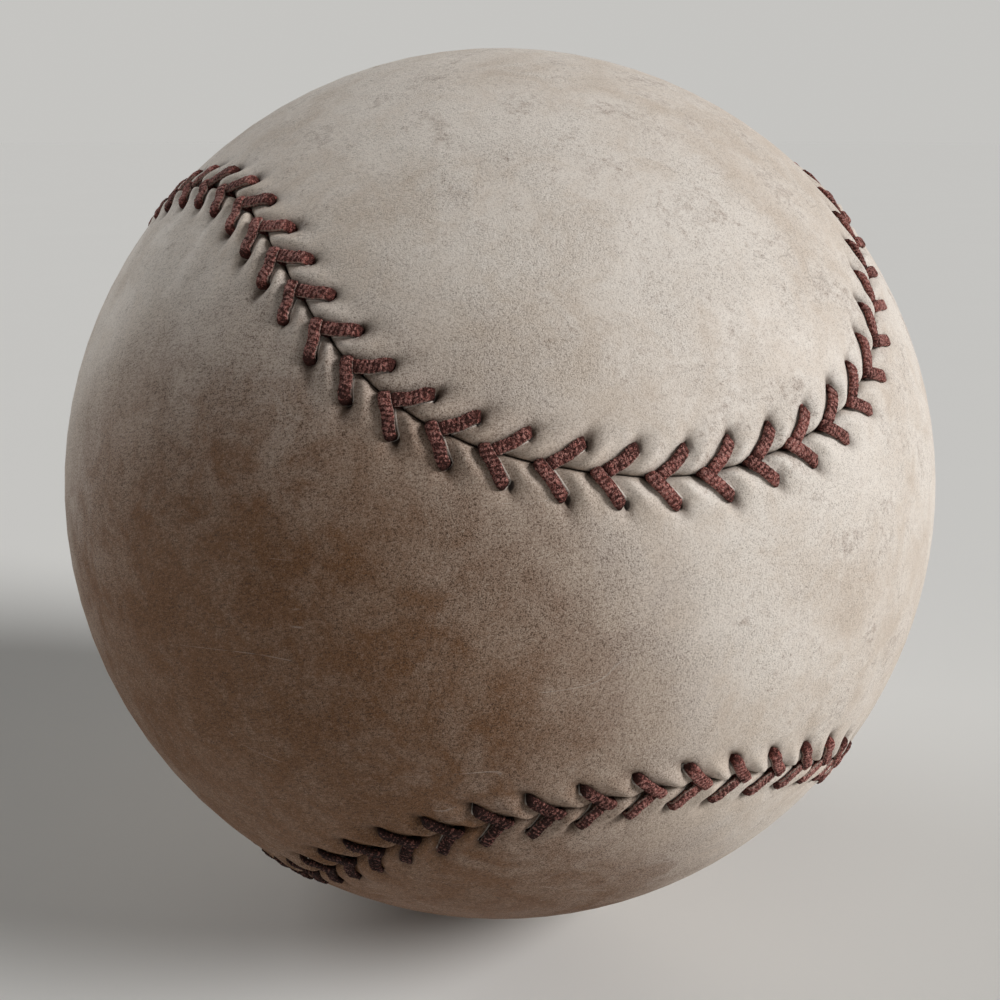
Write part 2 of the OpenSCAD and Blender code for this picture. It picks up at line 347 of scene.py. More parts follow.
class Relief:
    """Height of a cover's leather over the ball, and the grime and painted shade that lie in its hollows.
    """

    SEED = 7
    # Length over which the relief of a leg fades at its ends
    EASE = 0.4 * MM
    # How much the stitches differ: how hard they pull, how far that reaches, how the puckers lean,
    # and how far the needle holes are shifted along and across the seam
    STRENGTH = (0.55, 1.25)
    REACH = (0.75, 1.2)
    LEAN = 0.12
    SHIFT_FROM = (-0.46 * MM, -0.2 * MM)
    SHIFT_TO = (0.02 * MM, 0.2 * MM)
    # Share of a leg over which a pucker fades towards the seam
    RIDGE_FADE = 0.8
    # Where the wall of a needle hole starts and ends, in half widths of the hole
    HOLE_WALL = (0.5, 1.5)
    # How far past its needle hole a dent's middle lies, in half widths of the dent
    DENT_PAST = 1 / 3
    # How much grime and painted shade lie in the hollows of the relief, how wide they lie along the edge,
    # and how much less of them the ridges hold
    DENT_DIRT_AND_SHADE = 0.5
    VALLEY_DIRT_AND_SHADE = 0.6
    TROUGH_DIRT_AND_SHADE = 0.4
    EDGE_DIRT_AND_SHADE = 0.8
    EDGE_DIRT_AND_SHADE_WIDTH = 0.4 * MM
    RIDGE_LESS_DIRT_AND_SHADE = 0.3

    def __init__(self, seam, sizes, side):
        self.seam = seam
        self.sizes = sizes
        self.side = side
        draws = np.random.default_rng(self.SEED + side)
        count = seam.sizes.stitch_count
        self.strength = draws.uniform(*self.STRENGTH, count)
        self.reach = draws.uniform(*self.REACH, count)
        self.lean = draws.normal(0, self.LEAN, count)
        self.shift = draws.uniform(self.SHIFT_FROM, self.SHIFT_TO, (count, 2))

    def leg_places(self, along, inward, number):
        """Distances from a needle hole towards its leg's tip, and square to the leg, for the V's given
        by number, which are then counted round the seam."""
        seam = self.seam
        hole = seam.hole(self.side)
        leg = unit(seam.tip(self.side) - hole)
        normal = forward_normal(leg)
        x = along - seam.middle(number) - hole[0]
        y = inward - hole[1]
        stitch = number.astype(int) % seam.sizes.stitch_count
        return x * leg[0] + y * leg[1], x * normal[0] + y * normal[1], stitch

    def hole_places(self, along, inward):
        """Places measured from the needle holes: along in stitches, so that a hole is at each whole
        number, and inwards."""
        seam = self.seam
        hole = seam.hole(self.side)
        stitches = (along - hole[0]) / seam.pitch - seam.sizes.stitch_phase
        count = seam.sizes.stitch_count
        numbers = np.arange(count + 1)
        closed = np.append(self.shift, self.shift[:1], axis=0)
        turned = np.mod(stitches, count)
        shift_along, shift_in = (np.interp(turned, numbers, values) for values in closed.T)
        return stitches - shift_along / seam.pitch, inward - hole[1] - shift_in

    def leg_lines(self, along, inward):
        """Places measured from the legs: along in stitches, so that a leg's middle line is at each whole
        number, and how far on from its needle hole a leg is there."""
        seam = self.seam
        hole = seam.hole(self.side)
        leg = seam.tip(self.side) - hole
        share = (inward - hole[1]) / leg[1]
        stitches = (along - hole[0] - share * leg[0]) / seam.pitch - seam.sizes.stitch_phase
        return stitches, share * np.linalg.norm(leg)

    def measure(self, along, inward):
        """Height, grime and painted shade in the hollows, painted shade along the crease, and parting of
        the edges at places on the cover.
        """
        sizes = self.sizes
        seam = self.seam
        leg = seam.tip(self.side) - seam.hole(self.side)
        leg_length = np.linalg.norm(leg)
        half_way = seam.pitch * abs(forward_normal(leg)[0]) / 2
        nearest = np.round(along / seam.pitch - seam.sizes.stitch_phase)
        trough, valley, ridge, parting = (np.zeros_like(along) for _ in range(4))
        for ahead in (-1, 0, 1):
            on, off, stitch = self.leg_places(along, inward, nearest + ahead)
            strength = self.strength[stitch]
            reach = self.reach[stitch]
            fan = off + self.lean[stitch] * np.minimum(on, 0)
            on_leg = step(on, -self.EASE, 0) * step(leg_length + self.EASE - on, 0, self.EASE)
            trough = np.maximum(trough, on_leg * bell(off, 0, sizes.trough_width))
            past_hole = step(on, -sizes.valley_reach * reach, -self.EASE) * step(-on, -2 * self.EASE, 0)
            valley = np.maximum(valley, strength * past_hole * bell(fan, 0, sizes.valley_width))
            swell = step(on, -sizes.ridge_reach * reach, self.EASE)
            swell = swell * step(leg_length - on, 0, self.RIDGE_FADE * leg_length)
            ridge = np.maximum(ridge, strength * swell * bell(fan, -half_way, sizes.ridge_width))
            from_dive = along - seam.middle(nearest + ahead) - seam.dive(self.side)
            parting = np.maximum(parting, bell(from_dive, 0, sizes.parting_width))
        hole_along, hole_in = self.hole_places(along, inward)
        from_hole = (hole_along - np.round(hole_along)) * seam.pitch
        from_pit = np.hypot(from_hole / sizes.hole_along, hole_in / sizes.hole_across)
        pit = 1 - step(from_pit, *self.HOLE_WALL)
        from_dent = np.hypot(from_hole / sizes.dent_along, hole_in / sizes.dent_across - self.DENT_PAST)
        dent = bell(from_dent, 0, 1)
        dent = dent * self.strength[np.round(hole_along).astype(int) % seam.sizes.stitch_count]
        height = (
            -sizes.crease_depth * np.exp(-inward / sizes.crease_width)
            - sizes.roll_depth * np.exp(-inward / sizes.roll_width)
            - sizes.trough_depth * trough
            - sizes.valley_depth * valley
            + sizes.ridge_height * ridge
            - sizes.hole_depth * pit
            - sizes.dent_depth * dent
        )
        # Grime and painted shade: most in the dents, valleys and troughs and towards the crease, less on
        # the ridges
        soil = (
            self.DENT_DIRT_AND_SHADE * dent
            + self.VALLEY_DIRT_AND_SHADE * valley
            + self.TROUGH_DIRT_AND_SHADE * trough
            + self.EDGE_DIRT_AND_SHADE * np.exp(-inward / self.EDGE_DIRT_AND_SHADE_WIDTH)
            - self.RIDGE_LESS_DIRT_AND_SHADE * ridge
        )
        # Painted shade along the crease, strongest at the cut edge
        dark = np.exp(-inward / sizes.crease_shade)
        return height, np.clip(soil, 0, 1), dark, parting


def finish_mesh(name, bm, hollow=()):
    """Closes a bmesh's seams and open ends, turns its faces outwards, apart from those of a hollow, and
    makes it a piece of the ball."""
    bmesh.ops.remove_doubles(bm, verts=bm.verts[:], dist=MERGE)
    open_edges = [edge for edge in bm.edges if edge.is_boundary]
    bmesh.ops.holes_fill(bm, edges=open_edges, sides=0)
    bmesh.ops.recalc_face_normals(bm, faces=bm.faces[:])
    bmesh.ops.reverse_faces(bm, faces=list(hollow))
    mesh = bpy.data.meshes.new(name)
    bm.to_mesh(mesh)
    bm.free()
    mesh.shade_smooth()
    piece = bpy.data.objects.new(name, mesh)
    bpy.context.scene.collection.objects.link(piece)
    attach(piece, BODY)
    return piece


def lay_grids(bm, grids):
    """Adds a grid for each table of places, and lays the grid's points on those places. Named tables of
    pairs become coordinates of its faces' corners, and named tables of numbers are kept at its points."""
    pair_layers = {name: bm.loops.layers.uv.new(name) for name in grids[0][1]}
    number_layers = {name: bm.verts.layers.float.new(name) for name in grids[0][2]}
    for places, pairs, numbers in grids:
        rows, columns = places.shape[:2]
        made = bmesh.ops.create_grid(bm, x_segments=columns - 1, y_segments=rows - 1, size=1)["verts"]
        for vert, place in zip(made, places.reshape(-1, 3)):
            vert.co = place
        for name, table in pairs.items():
            for vert, pair in zip(made, table.reshape(-1, 2)):
                for loop in vert.link_loops:
                    loop[pair_layers[name]].uv = pair
        for name, table in numbers.items():
            for vert, number in zip(made, table.ravel()):
                vert[number_layers[name]] = number


# Directions that are closer than this angle count as one
SAME = 1e-6


def between(start, end, rows):
    """Directions on the great circles from start to end, in that many rows."""
    angle = np.arccos(np.clip((start * end).sum(-1, keepdims=True), -1, 1))
    shares = np.linspace(0, 1, rows + 1)[:, None, None]
    safe = np.maximum(np.sin(angle), SAME)
    arcs = (np.sin((1 - shares) * angle) * start + np.sin(shares * angle) * end) / safe
    return unit(np.where(angle < SAME, start * np.ones_like(shares), arcs))


def with_wall(table):
    """A table of the band's top rows, with its first row twice more for the wall of the cut edge."""
    return np.concatenate([table[[0, 0]], table])


# How much the band's mesh rows crowd towards the seam
ROW_CROWDING = 1.6


def make_cover(seam, sizes, side):
    """One leather cover: a band with its rolled edge along the seam, the open leather and the
    underside."""
    relief = Relief(seam, sizes, side)
    columns = seam.sizes.stitch_count * sizes.per_stitch
    along_line = seam.start(side) - side * np.linspace(0, seam.length, columns + 1)
    inward_line = sizes.band_reach * np.linspace(0, 1, sizes.band_rows + 1) ** ROW_CROWDING
    along, inward = np.meshgrid(along_line, inward_line)
    height, soil, dark, parting = relief.measure(along, inward)
    opened = inward + sizes.parting * parting * np.exp(-inward / sizes.trough_width)
    top = seam.spot(along, side * opened) * (BALL_R + height)[..., None]
    hole_along, hole_in = relief.hole_places(along, inward)
    leg_along, leg_on = relief.leg_lines(along, inward)

    edge = seam.spot(along_line, np.full_like(along_line, side * sizes.cut_gap))
    wall = np.stack([edge * UNDERSIDE_R, (edge * UNDERSIDE_R + top[0]) / 2])
    band = np.concatenate([wall, top])
    pairs = {"holes": (hole_along, hole_in / MM), "legs": (leg_along, leg_on / MM)}
    band_pairs = {name: with_wall(np.stack(pair, axis=-1)) for name, pair in pairs.items()}
    # The cover keeps at its points the grime and painted shade of its hollows, and the painted shade of
    # its crease
    band_numbers = {"soil": with_wall(soil), "dark": with_wall(dark)}

    half = columns // 2
    rim = unit(top[-1])
    field = between(rim[: half + 1], rim[::-1][: half + 1], sizes.field_rows)
    rim_r = np.linalg.norm(top[-1], axis=-1)[: half + 1, None]
    under = between(edge[: half + 1], edge[::-1][: half + 1], sizes.under_rows) * UNDERSIDE_R

    bm = bmesh.new()
    grids = [(band, band_pairs, band_numbers)]
    for plain in (field * rim_r, under):
        far = np.full((*plain.shape[:2], 2), -sizes.band_reach / MM)
        blank = np.zeros(plain.shape[:2])
        grids.append((plain, {"holes": far, "legs": far}, {"soil": blank, "dark": blank}))
    lay_grids(bm, grids)
    return finish_mesh(f"leather_{SIDE_NAMES[side]}_cover", bm)


class ThreadLine:
    """The path of one thread round the seam, as stations of its middle line, width and height."""

    SEED = 21
    # How far the tips stray, and how the legs' widths differ
    STRAY = 0.04 * MM
    UNEVEN_WIDTH = (0.94, 1.06)
    # Height of a leg's middle over the ball, as a share of its thickness
    LIE = 0.2
    # Widths of a leg in its needle hole, at the hole's mouth and at its tip, as shares of its full width
    NECK, MOUTH, TIP = 0.8, 0.94, 0.95
    # Rings of mesh on the way to each station of a leg, and how far the thread shows there
    RINGS = (3, 3, 4, 5, 16, 15, 5, 4, 2, 3)
    SHOWN = (0, 0, 0.7, 1, 1, 1, 0.9, 0, 0, 0)
    # Which station is the tip, and how far it shows on a back leg, which goes under the front leg;
    # showing less, that tip is painted darker as shade
    TIP_STATION = 6
    TUCKED = 0.45
    # The hole's mouth: how far up the rise it is, and how deep, as a share of the leg's thickness
    MOUTH_ON = 0.2
    MOUTH_DEPTH = 0.1
    # Heights at the end of the rise and at the tip, as shares of the height of the leg's middle
    RISEN = 0.9
    TIP_LIE = 0.1
    # Where the thread turns under the covers, as shares of its way to the next hole, along and across
    TURN = (0.1, 0.5)
    LAST_TURN = (0.3, 0.4)

    def __init__(self, seam, sizes, first_side):
        self.seam = seam
        self.sizes = sizes
        self.draws = np.random.default_rng(self.SEED + first_side)
        self.under_height = (UNDERSIDE_R + COTTON_R) / 2 - BALL_R
        self.stations = []
        count = seam.sizes.stitch_count
        for stitch in range(count):
            side = first_side if stitch % 2 == 0 else -first_side
            self.add_leg(stitch, side, last=stitch == count - 1)

    def add_leg(self, stitch, side, last):
        """The stations of one leg, from the needle hole over the leather and down into the gap."""
        seam, sizes = self.seam, self.sizes
        inwards = np.array([1, side])
        middle = np.array([seam.middle(stitch), 0])
        hole = middle + seam.hole(side) * inwards
        tip = middle + seam.tip(side) * inwards + self.draws.normal(0, self.STRAY, 2)
        dive = middle + np.array([seam.dive(side), 0])
        leg = unit(tip - hole)
        square = forward_normal(leg)
        turn = side * sizes.slant
        end_axis = np.array([
            square[0] * math.cos(turn) - square[1] * math.sin(turn),
            square[0] * math.sin(turn) + square[1] * math.cos(turn),
        ])
        forward = np.array([1.0, 0.0])
        wide = sizes.width * self.draws.uniform(*self.UNEVEN_WIDTH)
        high = sizes.height
        thin = (sizes.hidden_width, sizes.hidden_height)
        lie = self.LIE * high
        lap = side * sizes.lap
        in_wall = -LEATHER_T / 2
        mouth = hole + leg * self.MOUTH_ON * sizes.rise
        bowed = (hole + tip) / 2 - square * sizes.bow
        next_hole = np.array([seam.middle(stitch + 1), 0]) + seam.hole(-side) * np.array([1, -side])
        run = next_hole - dive
        turn_under = dive + run * np.array(self.LAST_TURN if last else self.TURN)
        # Place, height, width, thickness and width axis
        stations = (
            (hole, self.under_height, *thin, square),
            (hole, in_wall, self.NECK * wide, high, end_axis),
            (mouth, -self.MOUTH_DEPTH * high, self.MOUTH * wide, high, end_axis),
            (hole + leg * sizes.rise, self.RISEN * lie, wide, high, square),
            (bowed, lie, wide, high, square),
            (tip - leg * sizes.rise, lie + lap, wide, high, square),
            (tip, self.TIP_LIE * lie + lap, self.TIP * wide, high, square),
            (dive, in_wall, sizes.hidden_width, high, forward),
            (dive, -LEATHER_T, *thin, forward),
            (turn_under, self.under_height, *thin, forward_normal(run)),
        )
        shown = list(self.SHOWN)
        if side == BACK:
            shown[self.TIP_STATION] = self.TUCKED
        self.stations += [(*station, *rest) for station, *rest in zip(stations, self.RINGS, shown)]

    def rings(self):
        """For each ring its middle, half its width and height as vectors, its distance along the thread
        and how far it shows."""
        places, heights, widths, thicknesses, axes, counts, shown = zip(*self.stations)
        along, across = np.array(places).T
        heights = np.array(heights)
        out = self.seam.spot(along, across)
        points = out * (BALL_R + heights)[:, None]
        width_axes = self.seam.flat(along, across, np.array(axes))
        chords = np.linalg.norm(np.diff(points, axis=0), axis=1)
        knots = np.concatenate([[0], np.cumsum(chords)])
        slopes = np.gradient(points, knots, axis=0)

        ends = zip(knots[:-1], knots[1:], counts[1:])
        spans = [np.linspace(*span, endpoint=False) for span in ends]
        t = np.concatenate([*spans, knots[-1:]])
        k = np.clip(np.searchsorted(knots, t, side="right") - 1, 0, len(knots) - 2)
        gap = (knots[k + 1] - knots[k])[:, None]
        x = ((t - knots[k]) / gap[:, 0])[:, None]
        middles = (
            (2 * x**3 - 3 * x**2 + 1) * points[k]
            + (x**3 - 2 * x**2 + x) * gap * slopes[k]
            + (3 * x**2 - 2 * x**3) * points[k + 1]
            + (x**3 - x**2) * gap * slopes[k + 1]
        )
        tangents = unit(np.gradient(middles, t, axis=0))
        eased = x * x * (3 - 2 * x)
        leaning = width_axes[k] * (1 - eased) + width_axes[k + 1] * eased
        leaning = unit(leaning - (leaning * tangents).sum(-1, keepdims=True) * tangents)
        upright = np.cross(tangents, leaning)

        def ease(values):
            values = np.array(values)
            return values[k] * (1 - eased[:, 0]) + values[k + 1] * eased[:, 0]

        half_widths = leaning * ease(widths)[:, None] / 2
        half_heights = upright * ease(thicknesses)[:, None] / 2
        return middles, half_widths, half_heights, t, ease(shown)


# The thread's outline: how round its corners are, and how much wider it is below
ROUNDNESS = 0.5
FLARE = 0.1
OUTLINE_STEPS = 720


def thread_outline(sizes):
    """The outline of a flattened thread as shares of its half width and half height, with its points
    at even distances, and each point's turn round the thread."""
    fine = np.linspace(0, 2 * math.pi, OUTLINE_STEPS + 1)
    up = np.sign(np.sin(fine)) * np.abs(np.sin(fine)) ** ROUNDNESS
    across = np.sign(np.cos(fine)) * np.abs(np.cos(fine)) ** ROUNDNESS * (1 - FLARE * up)
    steps = np.hypot(np.diff(across) * sizes.width, np.diff(up) * sizes.height)
    walked = np.concatenate([[0], np.cumsum(steps)])
    shares = np.linspace(0, 1, sizes.ring_points + 1)
    places = [np.interp(shares * walked[-1], walked, part) for part in (across, up)]
    return *places, shares * 2 * math.pi


# The twist: how unevenly it runs, how round and how frayed a ply is, and how deep the grooves are at
# the thread's sides, as a share of their depth on top
UNEVEN_TWIST = 0.2
PLY_ROUNDNESS = 0.8
FRAY = 0.07
SIDE_GROOVE = 0.3
# How far the thread has to show before its plies are coloured; where it shows less, in the needle holes,
# at the dives and under the front leg, it is painted dark as shade
PLY_SHOWN = (0.5, 1)
# A painted highlight along one edge of the thread, the lit one: from and to which share of its half
# width, and below which height
RIM_ACROSS = (0.88, 1.0)
RIM_TOP = 0.6
RIM_FADE = 0.4


def make_thread(seam, sizes, first_side, name):
    """One waxed thread, which sews every second leg of each cover."""
    line = ThreadLine(seam, sizes, first_side)
    middles, wide, high, distance, shown = line.rings()
    across, up, turn = (part[:, None] for part in thread_outline(sizes))
    uneven = np.cumsum(line.draws.normal(0, UNEVEN_TWIST, len(distance)))
    twist = sizes.plies * turn / 2 + math.pi * distance / sizes.ply_spacing + uneven
    ply = np.abs(np.cos(twist)) ** PLY_ROUNDNESS
    frayed = line.draws.normal(0, FRAY, ply.shape)
    frayed[-1] = frayed[0]
    groove = (sizes.ply_depth * (1 - ply) + frayed) * shown
    aside = wide * (across * (1 - SIDE_GROOVE * groove))[..., None]
    upwards = high * (up * (1 - groove))[..., None]
    places = middles + aside + upwards
    # Painted highlight along the thread's lit edge only
    rim = step(-across, *RIM_ACROSS) * step(RIM_TOP - up, 0, RIM_FADE) * shown
    twist_pairs = np.stack(np.broadcast_arrays(turn, distance / MM), axis=-1)

    bm = bmesh.new()
    # Where the thread shows less, its ply number falls to nought, and it is painted dark as shade
    numbers = {"ply": ply * step(shown, *PLY_SHOWN), "rim": rim}
    lay_grids(bm, [(places, {"twist": twist_pairs}, numbers)])
    return finish_mesh(name, bm)


def spin(vectors, axis, angle):
    """Vectors turned about one of the main axes."""
    one, other = (axis + 1) % 3, (axis + 2) % 3
    turned = vectors.copy()
    turned[..., one] = vectors[..., one] * np.cos(angle) - vectors[..., other] * np.sin(angle)
    turned[..., other] = vectors[..., one] * np.sin(angle) + vectors[..., other] * np.cos(angle)
    return turned


# How fast a winding's turns tilt and drift round the ball, as shares of the angle that has been wound
TILT = 0.0618
DRIFT = 0.0471
MOST_TILT = 0.985
# How far the bed lies under the deepest turns' tops, in yarn heights, and how fine its two balls are
BED_SINK = 0.3
BED_FINENESS = 5
HOLLOW_FINENESS = 4


def make_winding(name, inner_r, outer_r, width, turns, sizes):
    """One winding: a yarn that goes round on great circles which tilt and drift, on a bed of the turns
    under them."""
    wound = np.linspace(0, turns * 2 * math.pi, turns * sizes.per_turn + 1)
    circle = np.stack([np.cos(wound), np.sin(wound), np.zeros_like(wound)], axis=-1)
    even = np.arcsin(np.sin(TILT * wound)) / (math.pi / 2)
    out = spin(spin(circle, 0, np.arccos(MOST_TILT * even)), 2, DRIFT * wound)
    height = sizes.flatness * width
    top_r = outer_r - sizes.clearance
    bed = sizes.bedding * height
    middle_r = top_r - height / 2 - bed * np.linspace(1, 0, len(wound))
    aside = unit(np.cross(out, np.gradient(out, axis=0)))
    turn = np.linspace(0, 2 * math.pi, sizes.ring_points + 1)
    radii = middle_r[:, None] + height / 2 * np.sin(turn)
    across = width / 2 * np.cos(turn)
    places = out[:, None] * radii[..., None] + aside[:, None] * across[:, None]
    distance = wound * outer_r / MM
    twist = np.stack(np.broadcast_arrays(turn, distance[:, None]), axis=-1)

    bm = bmesh.new()
    lay_grids(bm, [(places, {"twist": twist}, {})])
    bed_r = top_r - bed - BED_SINK * height
    bmesh.ops.create_icosphere(bm, subdivisions=BED_FINENESS, radius=bed_r)
    hollow = bmesh.ops.create_icosphere(bm, subdivisions=HOLLOW_FINENESS, radius=inner_r)["verts"]
    return finish_mesh(name, bm, {face for vert in hollow for face in vert.link_faces})


class Wire:
    """An output of a node. Arithmetic on it adds Math nodes to its material."""

    def __init__(self, finish, socket):
        self.finish = finish
        self.socket = socket

    def math(self, operation, first, second=0):
        return self.finish.add("ShaderNodeMath", {"operation": operation}, {0: first, 1: second})

    def __add__(self, other):
        return self.math("ADD", self, other)

    def __sub__(self, other):
        return self.math("SUBTRACT", self, other)

    def __mul__(self, other):
        return self.math("MULTIPLY", self, other)

    def __radd__(self, other):
        return self.math("ADD", other, self)

    def __rsub__(self, other):
        return self.math("SUBTRACT", other, self)

    def __rmul__(self, other):
        return self.math("MULTIPLY", other, self)

    def __pow__(self, other):
        return self.math("POWER", self, other)

    def __or__(self, other):
        """The larger of two values."""
        return self.math("MAXIMUM", self, other)

    def __ror__(self, other):
        return self.math("MAXIMUM", other, self)

    def __abs__(self):
        return self.math("ABSOLUTE", self)

    def __round__(self):
        return self.math("ROUND", self)

    def ramp(self, low, high):
        """A smooth rise from zero at low to one at high."""
        settings = {"interpolation_type": "SMOOTHSTEP"}
        inputs = {"Value": self, "From Min": low, "From Max": high}
        return self.finish.add("ShaderNodeMapRange", settings, inputs)


class Finish:
    """A procedural material or world, made of the piece's own coordinates in millimetres."""

    # Sockets of a mix node that belong to colours
    MIX_AMOUNT, MIX_FIRST, MIX_SECOND, MIX_RESULT = 0, 6, 7, 2

    def __init__(self, owner):
        self.owner = owner
        self.tree = owner.node_tree
        self.tree.nodes.clear()

    @classmethod
    def material(cls, name):
        material = bpy.data.materials.new(name)
        material.use_nodes = True
        finish = cls(material)
        place = finish.add("ShaderNodeTexCoord", output="Object")
        finish.place = finish.vector("SCALE", place, {"Scale": 1 / MM})
        return finish

    def add(self, kind, settings=None, inputs=None, output=0):
        """Adds a node of a kind with its settings, then the values or wires of its sockets."""
        node = self.tree.nodes.new(kind)
        for key, value in (settings or {}).items():
            setattr(node, key, value)
        for key, value in (inputs or {}).items():
            if isinstance(value, Wire):
                self.tree.links.new(value.socket, node.inputs[key])
            else:
                node.inputs[key].default_value = value
        return Wire(self, node.outputs[output]) if len(node.outputs) else node

    def vector(self, operation, first, inputs=None, output=0):
        inputs = {0: first, **(inputs or {})}
        return self.add("ShaderNodeVectorMath", {"operation": operation}, inputs, output)

    def turned(self, turn):
        """The coordinates, turned about the piece's middle."""
        inputs = {"Vector": self.place, "Rotation": turn}
        return self.add("ShaderNodeVectorRotate", {"rotation_type": "EULER_XYZ"}, inputs)

    def stretched(self, turn, scale):
        """The coordinates turned, then scaled by parts."""
        return self.vector("MULTIPLY", self.turned(turn), {1: scale})

    def crumpled(self, scale, reach):
        """The coordinates, shifted about unevenly."""
        shift = self.add("ShaderNodeTexNoise", None, {"Vector": self.place, "Scale": scale}, "Color")
        return self.vector("MULTIPLY_ADD", shift, {1: (reach, reach, reach), 2: self.place})

    def noise(self, scale, detail=4, rough=0.55, twist=0, place=None):
        inputs = {"Vector": place or self.place, "Scale": scale, "Detail": detail,
                  "Roughness": rough, "Distortion": twist}
        return self.add("ShaderNodeTexNoise", None, inputs)

    def cells(self, scale, feature="F1", output="Distance", place=None):
        inputs = {"Vector": place or self.place, "Scale": scale}
        return self.add("ShaderNodeTexVoronoi", {"feature": feature}, inputs, output)

    def own(self, name):
        """Two coordinates that the mesh keeps at its corners."""
        pair = self.add("ShaderNodeUVMap", {"uv_map": name})
        return [self.add("ShaderNodeSeparateXYZ", None, {0: pair}, axis) for axis in "XY"]

    def layer(self, name):
        """One of the numbers that the mesh keeps at its points."""
        return self.add("ShaderNodeAttribute", {"attribute_name": name}, None, "Fac")

    def mix(self, amount, first, second):
        """From the first colour to the second."""
        opaque = [part if isinstance(part, Wire) else (*part, 1) for part in (first, second)]
        inputs = {self.MIX_AMOUNT: amount, self.MIX_FIRST: opaque[0], self.MIX_SECOND: opaque[1]}
        return self.add("ShaderNodeMix", {"data_type": "RGBA"}, inputs, self.MIX_RESULT)

    def painted(self, base, *layers):
        """A colour with others laid over it, each by an amount."""
        for amount, tint in layers:
            base = self.mix(amount, base, tint)
        return base

    def close(self, base, rough, height=None, depth=0, specular=0.5):
        """Ends the material in one shader. Heights go from nought to one over a depth in millimetres."""
        inputs = {"Base Color": base, "Roughness": rough, "Specular IOR Level": specular}
        if height:
            bump = {"Height": height, "Distance": depth * MM, "Strength": 1}
            inputs["Normal"] = self.add("ShaderNodeBump", None, bump, "Normal")
        shader = self.add("ShaderNodeBsdfPrincipled", None, inputs)
        self.add("ShaderNodeOutputMaterial", None, {"Surface": shader})
        return self.owner


# Where the ball is darker brown: a direction from its middle, how wide the patch is, and how strong. The
# first three patches, low on the left of the front, are grime and painted shade; the others are grime.
SOIL_AND_SHADE_PATCHES = (
    ((-0.71, -0.66, -0.20), 56, 1.0),
    ((-0.24, -0.95, -0.20), 24, 0.25),
    ((-0.38, -0.56, -0.74), 46, 1.0),
    ((0.60, 0.70, 0.30), 42, 0.55),
    ((-0.20, 0.60, 0.75), 30, 0.50),
    ((0.50, -0.10, -0.85), 40, 0.55),
)
# How ragged a patch's rim is, and over how much of the patch it fades
PATCH_RAGGED = 0.5
PATCH_FADE = 0.9


def soil_and_shade_patches(finish, ragged):
    """Grime and painted shade in wide patches with ragged rims."""
    outwards = finish.vector("NORMALIZE", finish.place)
    total = 0
    for direction, reach, strength in SOIL_AND_SHADE_PATCHES:
        middle = tuple(unit(np.array(direction)))
        nearness = finish.vector("DOT_PRODUCT", outwards, {1: middle}, "Value")
        rim = math.cos(math.radians(reach))
        spread = 1 - rim
        uneven = (ragged - 0.5) * spread * PATCH_RAGGED
        total = total | (nearness + uneven).ramp(rim, rim + PATCH_FADE * spread) * strength
    return total


# Scratches: scales of their noise along and across them, how far from its middle level they reach,
# and the belt of the ball that holds them, as shares of its radius
SCRATCH_SCALES = (0.014, 0.24, 0.24)
SCRATCH_WIDTH = (0.0032, 0.0008)
SCRATCH_BELT = (0.62, 0.4)


def scratches(finish, turn):
    """A few long, faint scratches that run one way, where that way lies in the ball's surface."""
    level = finish.noise(1, detail=0, rough=0.5, place=finish.stretched(turn, SCRATCH_SCALES)) - 0.5
    end_on = finish.add("ShaderNodeSeparateXYZ", None, {0: finish.turned(turn)}, "X")
    belt = abs(end_on).ramp(*(share * BALL_R / MM for share in SCRATCH_BELT))
    kept = finish.noise(0.11, detail=3, rough=0.6, twist=1).ramp(0.54, 0.62)
    return abs(level).ramp(*SCRATCH_WIDTH) * belt * kept


def creases(finish):
    """Fine dark creases of dry leather, in places."""
    edges = finish.cells(0.13, "DISTANCE_TO_EDGE", place=finish.crumpled(0.2, 4))
    kept = finish.noise(0.17, detail=3, rough=0.6, twist=0.5).ramp(0.53, 0.66)
    return edges.ramp(0.007, 0.002) * kept


# Painted shade in the needle holes: how ragged it is, and how far out it fades, in squares of the holes'
# half widths
HOLE_RAGGED = 1.5
HOLE_RIM = (1.6, 0.5)


def needle_hole_shade(finish, seam, sizes, ragged):
    """Painted shade in the needle holes, from the cover's own coordinates."""
    along, inward = finish.own("holes")
    from_hole = (along - round(along)) * (seam.pitch / sizes.hole_along)
    oval = from_hole**2 + (inward * (MM / sizes.hole_across)) ** 2
    return (oval + (ragged - 0.5) * HOLE_RAGGED).ramp(*HOLE_RIM)


# Lips, in widths of a lip: how far they start in under a leg, where they are full, and where they end
LIP_UNDER = 0.6
LIP_FULL = (0.5, 1)
LIP_END = 1.8
# How far a leg's end reaches past its needle hole, in heights of the leg
LEG_END = 0.3
# The lip and its painted highlight show only on the lit side of a leg: they fade out over the leg's
# middle line, and towards its tip, in millimetres
LIT_SIDE = (0.2, -0.2)
LIP_TIP = 0.8


